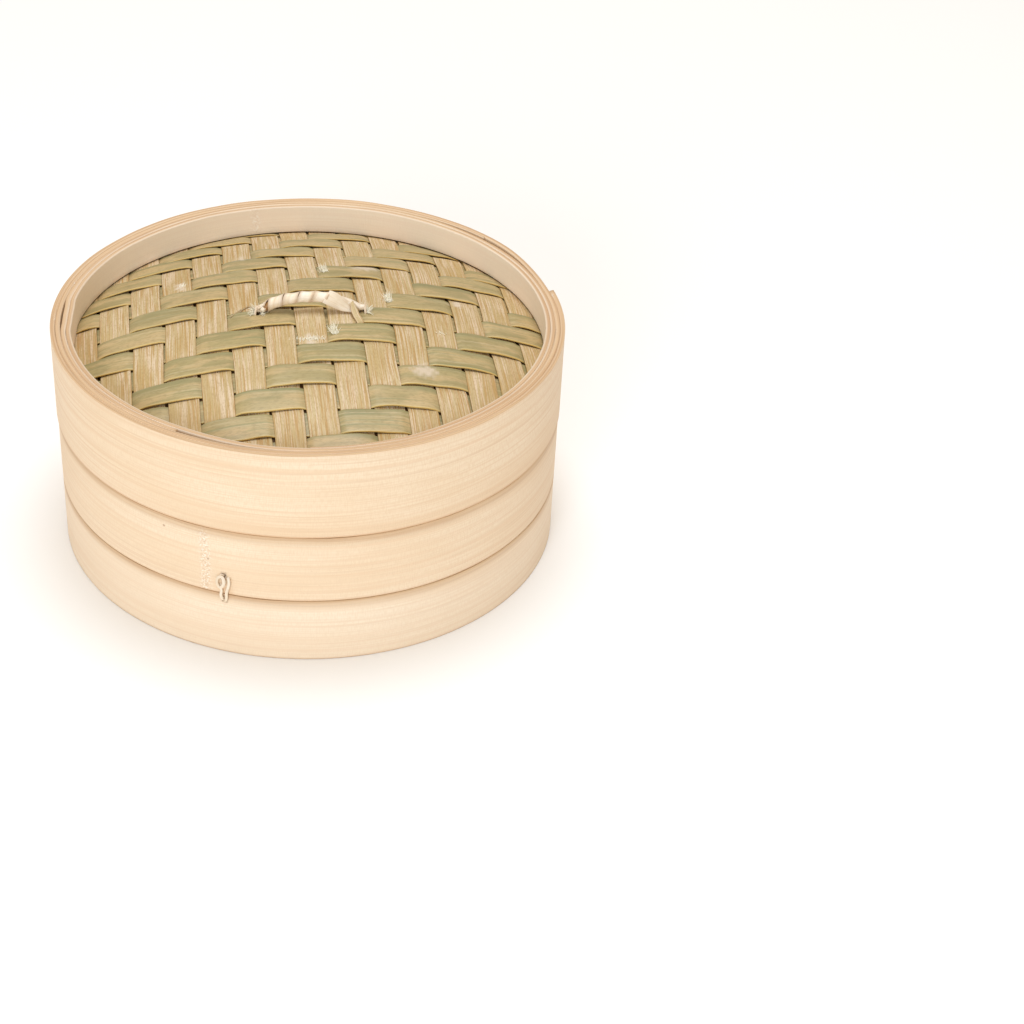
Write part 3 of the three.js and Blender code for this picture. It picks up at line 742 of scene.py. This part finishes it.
def smooth_path(points, count):
    """A Catmull-Rom curve through the points, at even steps of its length."""
    points = np.asarray(points, float)
    padded = np.vstack([2 * points[0] - points[1], points, 2 * points[-1] - points[-2]])
    pieces = []
    for a, b, c, d in zip(padded, padded[1:], padded[2:], padded[3:]):
        t = np.linspace(0, 1, 24, endpoint=False)[:, None]
        bend, twist = 2 * a - 5 * b + 4 * c - d, 3 * b - a - 3 * c + d
        pieces.append(0.5 * (2 * b + (c - a) * t + bend * t**2 + twist * t**3))
    dense = np.vstack(pieces + [points[-1:]])
    length = np.concatenate([[0], np.cumsum(np.linalg.norm(np.diff(dense, axis=0), axis=1))])
    even = np.linspace(0, length[-1], count)
    return np.stack([np.interp(even, length, dense[:, k]) for k in range(3)], axis=-1), even


def ribbon(path, along, facing, width, thick, widths=1.0, corner_share=0.45):
    """Rings of a flat strand along a path. facing is where its broad face looks, at each point."""
    tangent = np.gradient(path, axis=0)
    tangent /= np.linalg.norm(tangent, axis=1)[:, None]
    facing = facing - (facing * tangent).sum(1)[:, None] * tangent
    facing /= np.linalg.norm(facing, axis=1)[:, None]
    side = np.cross(tangent, facing)
    section = rounded_section(width, thick, corner_share * thick, 2, (0.0, 0.5))
    scale = np.broadcast_to(np.asarray(widths, float), (len(path),))[:, None, None]
    rings = path[:, None] + side[:, None] * section[None, :, :1] * scale
    rings = rings + facing[:, None] * section[None, :, 1:] * np.minimum(1, scale * 1.5 + 0.2)
    grain = as_points(along[:, None], section[:, 0], section[:, 1])
    return rings, {"grain": grain, "edge": (np.abs(section[:, 0]) > 0.465 * width) * 0.8}


def fibres(rng, root, direction, count, length, spread, radius=0.13 * MM):
    """Torn fibres that fan out from a root."""
    parts = []
    for _ in range(count):
        aim = np.array(direction) + rng.normal(0, spread, 3)
        aim /= np.linalg.norm(aim)
        reach = length * rng.uniform(0.4, 1.0)
        bend = rng.normal(0, 0.2, 3) * reach
        start = np.array(root) + rng.normal(0, 0.35 * MM, 3)
        points = [start, start + aim * reach * 0.5 + bend * 0.4, start + aim * reach + bend]
        path, along = smooth_path(points, 7)
        facing = np.tile([0.2, -0.3, 1.0], (7, 1))
        thinning = np.linspace(1, 0.25, 7)
        parts.append(ribbon(path, along, facing, 2 * radius * rng.uniform(0.8, 1.6), radius, thinning))
    return parts


HANDLE_TURN = -2 * DEGREE  # of the handle from the wefts
HANDLE_SET_FORWARD = 3.4 * MM
HANDLE_SPAN = 51 * MM
HANDLE_FOOT_INSIDE = 2.2 * MM
HANDLE_CORE = 1.9 * MM
HANDLE_OVERHANG = 0.6 * MM  # of each foot past the middle of its lashing


def from_handle(points):
    """From the handle's own frame, with x along it and y = 0 under its middle, to the object's."""
    return turn_points(turn_points(points, HANDLE_TURN) - [0, HANDLE_SET_FORWARD, 0], WEAVE_TURN)


def from_weave(points):
    return turn_points(points, WEAVE_TURN)


class Arch:
    """The handle's centreline, as in the frame: in the handle's own frame."""

    def __init__(self):
        low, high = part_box("handle_core")
        self.foot = low.z + HANDLE_CORE
        self.rise = high.z - HANDLE_CORE - self.foot
        self.half = HANDLE_SPAN / 2 - HANDLE_FOOT_INSIDE

    def height(self, x):
        share = np.minimum(1, np.abs(x) / self.half)
        return self.foot + self.rise * (1 - share**2.5)

    def frame_at(self, x):
        """The centreline's points, the upward direction square to it, and the sideways direction."""
        centre = as_points(x, 0 * x, self.height(x))
        tangent = np.gradient(centre, axis=0)
        tangent /= np.linalg.norm(tangent, axis=1)[:, None]
        side = np.array([0.0, 1.0, 0.0])
        return centre, np.cross(tangent, side), side


def add_handle(cane):
    """A round cane arch, painted darker with shade where its wrap covers it, and the wrap."""
    arch = Arch()
    x = np.linspace(-1, 1, 90) * (HANDLE_SPAN / 2 + HANDLE_OVERHANG)
    centre, up, side = arch.frame_at(x)
    length = np.concatenate([[0], np.cumsum(np.linalg.norm(np.diff(centre, axis=0), axis=1))])
    around = np.linspace(0, 2 * math.pi, 20, endpoint=False)
    rng = np.random.default_rng(77)
    taper = 1 - 0.35 * ease((np.abs(x) - HANDLE_SPAN / 2 + 3 * MM) / (5 * MM))
    radius = HANDLE_CORE * taper[:, None] * (
        1 + 0.03 * np.sin(3 * around) + wobble(rng, x, 0.012, 0.03)[:, None]
    )
    cosine, sine = np.cos(around)[None, :, None], np.sin(around)[None, :, None]
    rings = centre[:, None] + radius[..., None] * (cosine * side + sine * up[:, None])
    grain = as_points(length[:, None], HANDLE_CORE * np.cos(around), HANDLE_CORE * np.sin(around))
    # Painted shade: the core turns brown where the wrap covers it, so the gaps between the wrap's turns
    # look shaded
    shade_under_wrap = np.abs(x + 7 * MM) < 15 * MM
    edge = 0.12 + 0.88 * shade_under_wrap[:, None]
    add_piece("handle_core", from_handle(rings), "handle", "cane", cane, grain=grain, edge=edge)
    parts = [wound_wrap(arch), wrap_tail(arch)]
    add_strands("look_handle_wrap", parts, from_handle, "handle", cane, ["handle_wrap"])


def wound_wrap(arch):
    """A flat strip wound over the left and the middle, with a narrow gap between its turns."""
    start, end, pitch, width = -24.2 * MM, 9.2 * MM, 7.1 * MM, 6.7 * MM
    front_at = -17.4 * MM  # where one of its turns lies on the front of the arch
    t = np.linspace(0, 1, 280)
    x = start + (end - start) * t
    phase = 2 * math.pi * (x - front_at) / pitch
    base, up, side = arch.frame_at(x)
    outward = np.sin(phase)[:, None] * up - np.cos(phase)[:, None] * side
    swell = 1 + 0.05 * np.sin(phase * 0.5) - 0.1 * (1 - ease(t / 0.1))
    path = base + outward * ((HANDLE_CORE + 0.4 * MM) * swell)[:, None]
    along = np.concatenate([[0], np.cumsum(np.linalg.norm(np.diff(path, axis=0), axis=1))])
    widths = (0.6 + 0.4 * ease(t / 0.1)) * (1 + 0.03 * np.sin(phase * 1.3))
    rings, attributes = ribbon(path, along, outward, width, 0.45 * MM, widths)
    attributes["edge"] = 0.6 * attributes["edge"]
    return rings, attributes


def wrap_tail(arch):
    """The strip's broad end, over the front of the arch and down to a point at the right lashing."""
    stops = np.array([7.4, 11.7, 15.7, 18.2, 20.3]) * MM
    x = np.linspace(stops[0], stops[-1], 70)
    along = x - stops[0]

    def follow(values):
        """Values at the stops, as a smooth run along the path."""
        run = np.pad(np.interp(x, stops, values), 6, mode="edge")
        return np.convolve(run, np.ones(13) / 13, mode="valid")

    base, _, _ = arch.frame_at(x)
    forward, up = follow([-1.8, -2.4, -2.5, -2.5, -2.6]), follow([1.5, 0.2, -1.3, -2.0, -2.7])
    path = base + as_points(0 * x, forward, up) * MM
    lean = follow([40, 25, 20, 35, 52]) * DEGREE
    outward = as_points(0 * x, -np.cos(lean), np.sin(lean))
    widths = follow([0.86, 1.0, 0.86, 0.55, 0.12])
    rings, attributes = ribbon(path, along + 0.3, outward, 7.2 * MM, 0.45 * MM, widths)
    slant = 0.45 * (1 - ease(along / (5 * MM)))[:, None]
    rings[..., 0] += slant * (rings[..., 2] - path[:, None, 2])
    attributes["edge"] = 0.2 * attributes["edge"]
    return rings, attributes


def frayed_foot(rng, x, surface, fans):
    """Torn fibres round a foot of the handle at x: each fan is (dx, dy, way it points, how many fibres)."""
    parts = []
    for dx, dy, aim, count in fans:
        root = (x + dx * MM, dy * MM, surface + 0.7 * MM)
        parts += fibres(rng, root, aim, count, 3.6 * MM, 0.5, 0.11 * MM)
    return parts


def add_lashing(node, weave, side, loop, width, fans, cane, tuft):
    """A tight loop of cane over one foot of the handle, mostly hidden by its own torn fibres."""
    rng = np.random.default_rng(91 + side)
    low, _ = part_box(node)
    x = side * HANDLE_SPAN / 2
    surface = weave.height(x, HANDLE_SET_FORWARD) + 0.9 * MM
    heights = [low.z + 2 * MM if lift is None else surface + lift * MM for _, _, lift in loop]
    points = [(x + dx * MM, dy * MM, z) for (dx, dy, _), z in zip(loop, heights)]
    path, along = smooth_path(points, 60)
    loops = [ribbon(path, along, path - np.array([x, 0, surface]), width, 0.6 * MM)]
    add_strands("look_" + node, loops, from_handle, "lid", cane, [node], edge=0.2, base=0.3)
    torn = frayed_foot(rng, x, surface, fans)
    add_strands("look_" + node + "_fibres", torn, from_handle, "lid", tuft, edge=0)


# Round each foot of the handle: the loop's (dx, dy, height over the weave or None for below it) in mm,
# and the fans of torn fibres
LEFT_LOOP = [
    (-1.2, 2.7, None),
    (-1.1, 2.7, 0.5),
    (-0.7, 1.5, 3.0),
    (-0.9, -1.0, 3.0),
    (-1.5, -2.5, 0.6),
    (-1.6, -2.7, None),
]
LEFT_FANS = [
    (-1.4, 1.6, (-1.0, 0.7, 0.25), 34),
    (-1.8, -0.6, (-1.0, -0.3, 0.15), 44),
    (-2.2, -2.0, (-1.0, -0.7, 0.1), 20),
    (1.6, -2.0, (0.7, -1.0, 0.2), 40),
    (1.2, 1.0, (-0.2, 1.0, 0.9), 14),
]
RIGHT_LOOP = [(1.0, 2.7, None), (0.9, 2.6, 1.4), (0.7, 0.4, 3.2), (0.9, -2.4, 1.0), (1.0, -2.7, None)]
RIGHT_FANS = [
    (1.0, 1.6, (-0.2, 1.0, 0.7), 22),
    (2.0, -0.2, (1.0, 0.2, 0.25), 40),
    (1.8, -1.8, (0.9, -0.6, 0.15), 22),
]


def add_straws(weave, warp):
    """A loose straw by the left foot, and the flat strand from the right foot to the front."""

    def above(points):
        return [(u * MM, v * MM, weave.height(u * MM, v * MM) + lift * MM) for u, v, lift in points]

    straw = above([(-39.0, -4.2, 1.5), (-34.0, 0.6, 1.5), (-29.5, 3.4, 1.5), (-26.6, 1.8, 1.5)])
    path, along = smooth_path(straw, 40)
    thin = [ribbon(path, along + 0.7, np.tile([0.0, 0.0, 1.0], (40, 1)), 0.7 * MM, 0.4 * MM)]
    add_strands("look_loose_straw", thin, from_weave, "lid", warp)
    strand = [
        (19.6, -4.8, 6.6),
        (20.0, -6.4, 5.6),
        (20.7, -8.6, 3.9),
        (21.6, -11.2, 2.4),
        (22.5, -13.8, 1.9),
        (23.0, -15.4, 1.5),
        (23.4, -16.6, -0.6),
    ]
    path, along = smooth_path(above(strand), 90)
    facing = as_points(0.1 + 0 * along, -0.5 + 0 * along, 0.85 + 0 * along)
    widths = 0.55 + 0.45 * ease(along / (6 * MM))
    flat = [ribbon(path, along + 3.3, facing, 3.5 * MM, 0.45 * MM, widths)]
    add_strands("look_lashing_strand", flat, from_weave, "lid", warp, edge=0.5)


# Slits where the feet of the handle go through the weave: (u, v, half length, half width)
FOOT_HOLES = [(-25.3 * MM, -3.0 * MM, 1.1 * MM, 2.5 * MM), (24.9 * MM, -3.5 * MM, 1.0 * MM, 1.2 * MM)]

# Torn fibres that stand up from the weave: (u, v, way they lean, how many, how long, their spread along u)
TUFTS = [
    (10.2, 38.4, (-0.15, 1.0, 0.35), 130, 5.0, 0.7),
    (39.7, 6.8, (-0.25, 1.0, 0.3), 130, 5.6, 0.6),
    (10.0, -25.0, (-0.3, 1.0, 0.35), 150, 6.2, 0.7),
    (-3.0, -29.2, (0.0, 1.0, 0.5), 130, 1.9, 3.6),
    (-61.0, 37.5, (0.3, 0.8, 0.5), 24, 2.2, 0.8),
    (62.0, -20.0, (-0.5, 0.6, 0.5), 20, 1.8, 0.8),
]


def add_tufts(weave, cane):
    rng = np.random.default_rng(93)
    parts = []
    for u, v, aim, count, length, spread in TUFTS:
        for _ in range(count):
            spot_u = (u + rng.normal(0, spread)) * MM
            spot_v = (v + rng.normal(0, 0.4)) * MM
            root = (spot_u, spot_v, weave.height(spot_u, spot_v) + 1.0 * MM)
            parts += fibres(rng, root, aim, 1, length * MM, 0.16, 0.09 * MM)
    add_strands("look_weave_tufts", parts, from_weave, "lid", cane, edge=0)


# ---- The tier's floor and ties ----

BAR_PLAY = 0.3 * MM  # round each bar in its notches


def add_slat(node, order, reach, paint):
    """A split slat with a slightly crowned top, its ends cut to the round of the wall."""
    rng = np.random.default_rng(200 + order)
    low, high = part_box(node)
    middle, width, thick = (low.y + high.y) / 2, high.y - low.y, high.z - low.z
    section = rounded_section(width, thick, 0.7 * MM, 3, (0.0, 0.35, 0.7, 0.88))
    across = section[:, 0] / (width / 2)
    t = np.linspace(-1, 1, 60)[:, None]
    y = middle + section[:, 0]
    x = t * (np.sqrt(reach**2 - y**2) - 0.2 * MM)
    crown = -0.35 * MM * across**2 * (section[:, 1] > 0)
    sag = wobble(rng, x, 0.16, 0.12 * MM) - 0.12 * MM
    z = (low.z + high.z) / 2 + section[:, 1] + crown + sag * (section[:, 1] > 0)
    rings = as_points(x, y, z)
    first = rng.uniform(-0.09, 0.09)
    grain = as_points(x, section[:, 0], section[:, 1] + 0.53 * order)
    edge = np.abs(across) > 0.96
    add_piece(node, rings, "tier", "floor_bamboo", paint, grain=grain, edge=edge, from_joint=x - first)


def solid_cutter(points, faces):
    mesh = bpy.data.meshes.new("cutter")
    mesh.from_pydata([tuple(p) for p in points], [], faces)
    cutter = bpy.data.objects.new("cutter", mesh)
    bpy.context.scene.collection.objects.link(cutter)
    return cutter


def box_cutter(boxes, turn=0.0):
    """Solid boxes, each a pair of opposite corners, turned about the axis of the hoops."""
    points, faces = [], []
    sides = ((0, 1, 3, 2), (4, 6, 7, 5), (0, 4, 5, 1), (2, 3, 7, 6), (0, 2, 6, 4), (1, 5, 7, 3))
    for order, box in enumerate(boxes):
        points += [(box[x][0], box[y][1], box[z][2]) for x in (0, 1) for y in (0, 1) for z in (0, 1)]
        faces += [[8 * order + corner for corner in side] for side in sides]
    return solid_cutter(turn_points(np.array(points), turn), faces)


def bar_cutter():
    """The notches across the foot ring for the two bars."""
    boxes = []
    for node in ("floor_bar_left", "floor_bar_right"):
        low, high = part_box(node)
        start = (low.x - BAR_PLAY, -0.2, low.z - BAR_PLAY)
        boxes.append((start, (high.x + BAR_PLAY, 0.2, high.z + 2 * MM)))
    return box_cutter(boxes)


def foot_hole_cutter():
    """The slits in the weave where the two feet of the handle go through it."""
    boxes = [
        ((u - half_u, v - half_v, 112 * MM), (u + half_u, v + half_v, 124 * MM))
        for u, v, half_u, half_v in FOOT_HOLES
    ]
    return box_cutter(boxes, WEAVE_TURN)


def add_bar(node, order, paint):
    low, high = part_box(node)
    section = rounded_section(high.x - low.x, high.z - low.z, 0.8 * MM, 3, (0.0, 0.6))
    y = np.linspace(low.y, high.y, 40)[:, None]
    x = (low.x + high.x) / 2 + section[:, 0] + 0 * y
    z = (low.z + high.z) / 2 + section[:, 1] + 0 * y
    rings = as_points(x, y, z)
    grain = as_points(y, section[:, 0], section[:, 1] + 5.1 * order)
    add_piece(node, rings, "tier", "floor_bamboo", paint, grain=grain, edge=0, from_joint=y - 0.1)


def tie_angle(node):
    points = node_points(node)
    middle = (points.max(0) + points.min(0)) / 2
    return math.atan2(middle[1], middle[0])


def add_tie(node, order, cane):
    """Cane looped through the wall: a small twisted loop above the seam and one leg below it."""
    angle = tie_angle(node)
    low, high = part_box(node)
    points = node_points(node)
    reach = np.hypot(points[:, 0], points[:, 1]) / MM
    wall, inside = reach.max() - 1.4, reach.min()
    out = wall + 0.5
    top, bottom = high.z / MM - 0.55, low.z / MM + 0.55
    first = [
        (inside + 0.6, 0.0, top),
        (wall - 1.5, -0.2, top),
        (out - 0.2, -0.9, top - 0.1),
        (out + 0.1, -2.6, top - 1.9),
        (out + 0.2, -2.9, top - 4.6),
        (out + 0.3, -1.9, top - 6.6),
        (out + 0.8, -0.2, top - 5.6),
        (out + 0.9, 0.7, top - 3.0),
        (out + 0.5, 0.0, top - 0.9),
        (out + 0.3, -1.2, top - 0.5),
        (out - 0.1, -1.9, top - 1.6),
        (wall - 0.4, -2.0, top - 2.6),
    ]
    second = [
        (wall - 1.0, 2.6, top - 0.4),
        (out + 0.1, 2.7, top - 0.9),
        (out + 0.4, 3.0, top - 3.0),
        (out + 0.4, 2.5, top - 6.0),
        (out + 0.5, 1.7, bottom + 5.6),
        (out + 0.5, 1.6, bottom + 3.0),
        (out + 0.3, 1.2, bottom + 1.2),
        (out - 0.4, 0.2, bottom + 0.1),
        (wall - 1.5, 0.0, bottom),
        (inside + 0.6, 0.0, bottom),
    ]
    third = [
        (wall - 0.4, -1.8, top - 5.4),
        (out + 0.2, -1.4, top - 6.6),
        (out + 0.3, -0.9, bottom + 6.2),
        (out + 0.3, -1.2, bottom + 3.6),
        (out, -0.7, bottom + 1.5),
        (wall - 0.6, -0.2, bottom + 0.5),
    ]
    inner = [
        (inside + 0.55, 0.0, top + 0.2),
        (inside + 0.45, 0.1, (top + bottom) / 2),
        (inside + 0.55, 0.0, bottom - 0.2),
    ]
    parts = []
    strands = (first, 1.6, 0.75), (second, 1.5, 0.75), (third, 1.5, 0.6), (inner, 1.8, 0.8)
    for line, width, thick in strands:
        path, along = smooth_path(np.array(line) * MM, 110)
        facing = np.tile([1.0, 0.0, 0.0], (len(path), 1)) + 0.001
        if line is first:
            facing = facing + as_points(0 * along, 0.4 * np.sin(along / 0.003), 0 * along)
        tangent = np.gradient(path, axis=0)
        inward = np.abs(tangent[:, 0]) / np.linalg.norm(tangent, axis=1)
        facing[:, 2] += 1.5 * inward**2
        parts.append(ribbon(path, along + order, facing, width * MM, thick * MM))
    rng = np.random.default_rng(60 + order)
    root = np.array([out + 0.2, 0.4, bottom + 0.6]) * MM
    parts += fibres(rng, root, (0.25, 0.5, -1.0), 7, 2.2 * MM, 0.4, 0.09 * MM)
    place = partial(turn_points, angle=angle)
    add_strands("look_" + node, parts, place, "tier", cane, [node], edge=0.25, base=0.1)


def tie_cutter(nodes):
    """Short rods where the ties pass through the walls."""
    points, faces = [], []
    for node in nodes:
        angle = tie_angle(node)
        low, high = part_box(node)
        for z in (low.z + 0.55 * MM, high.z - 0.55 * MM):
            around = np.linspace(0, 2 * math.pi, 10, endpoint=False)
            ring = as_points(0 * around, 1.25 * MM * np.cos(around), z + 0.95 * MM * np.sin(around))
            rod = np.stack([ring + [0.1, 0, 0], ring + [0.135, 0, 0]])
            faces += skin_faces(rod, 20 * len(points))
            points.append(turn_points(rod, angle).reshape(-1, 3))
    return solid_cutter(np.concatenate(points), faces)


# ---- The whole object ----


def build():
    hoop, floor_wood, cane = hoop_paint(), floor_paint(), cane_paint()
    warp, weft, mat, leaf, tuft = warp_paint(), weft_paint(), mat_paint(), leaf_paint(), tuft_paint()
    # seam paints a shadow line along the lower edge of the lid's hoop and of the body band
    wound_hoop("lid_outer_hoop", 12 * DEGREE, "lid", hoop, 1, 10 * DEGREE, low_shade=0.9, seam=0.9)
    # pale is partly each strip's own tone and partly painted light: on the press ring for the lid's recess,
    # on the body and foot bands for light from the floor
    wound_hoop(
        "lid_press_ring", 240 * DEGREE, "lid", hoop, 2, 300 * DEGREE, pale=0.6, crevice_at=180 * DEGREE
    )
    wound_hoop("lid_lower_ring", 225 * DEGREE, "lid", hoop, 3, 80 * DEGREE)
    body = wound_hoop(
        "tier_body_band", 67.5 * DEGREE, "tier", hoop, 4, -113.2 * DEGREE,
        pale=0.15, seam=0.4, sink=0.22 * MM, corner=0.16 * MM,
    )
    foot = wound_hoop(
        "tier_foot_band", 157.5 * DEGREE, "tier", hoop, 5, 15 * DEGREE, pale=0.3, corner=0.16 * MM
    )
    liner = wound_hoop("tier_liner_hoop", 270 * DEGREE, "tier", hoop, 6, 120 * DEGREE)
    foot_ring = wound_hoop("tier_foot_ring", 37.5 * DEGREE, "tier", hoop, 7, 200 * DEGREE)
    cut_holes([foot_ring], bar_cutter())
    weave = Weave()
    warps = [add_strand(weave, node, "warp", order, warp) for order, node in enumerate(WARP_NODES)]
    wefts = [add_strand(weave, node, "weft", order, weft) for order, node in enumerate(WEFT_NODES)]
    lining = add_lining(weave, leaf)
    cut_holes([*warps[5:7], *warps[8:10], *wefts[7:9], lining], foot_hole_cutter())
    add_undermat(weave, mat)
    add_handle(cane)
    add_lashing("handle_lashing_left", weave, -1, LEFT_LOOP, 1.2 * MM, LEFT_FANS, cane, tuft)
    add_lashing("handle_lashing_right", weave, 1, RIGHT_LOOP, 1.1 * MM, RIGHT_FANS, cane, tuft)
    add_straws(weave, warp)
    add_tufts(weave, tuft)
    liner_low, liner_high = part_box("tier_liner_hoop")
    reach = max(liner_high.x, liner_high.y, -liner_low.x, -liner_low.y) - 0.6 * MM
    for order in range(11):
        add_slat(f"floor_slat_{order + 1:02d}", order, reach, floor_wood)
    add_bar("floor_bar_left", 1, floor_wood)
    add_bar("floor_bar_right", 2, floor_wood)
    ties = ["wall_tie_1", "wall_tie_2", "wall_tie_3"]
    cut_holes([body, foot, liner], tie_cutter(ties))
    for order, node in enumerate(ties):
        add_tie(node, order, cane)


add_camera()
add_lights()
add_floor()
build()
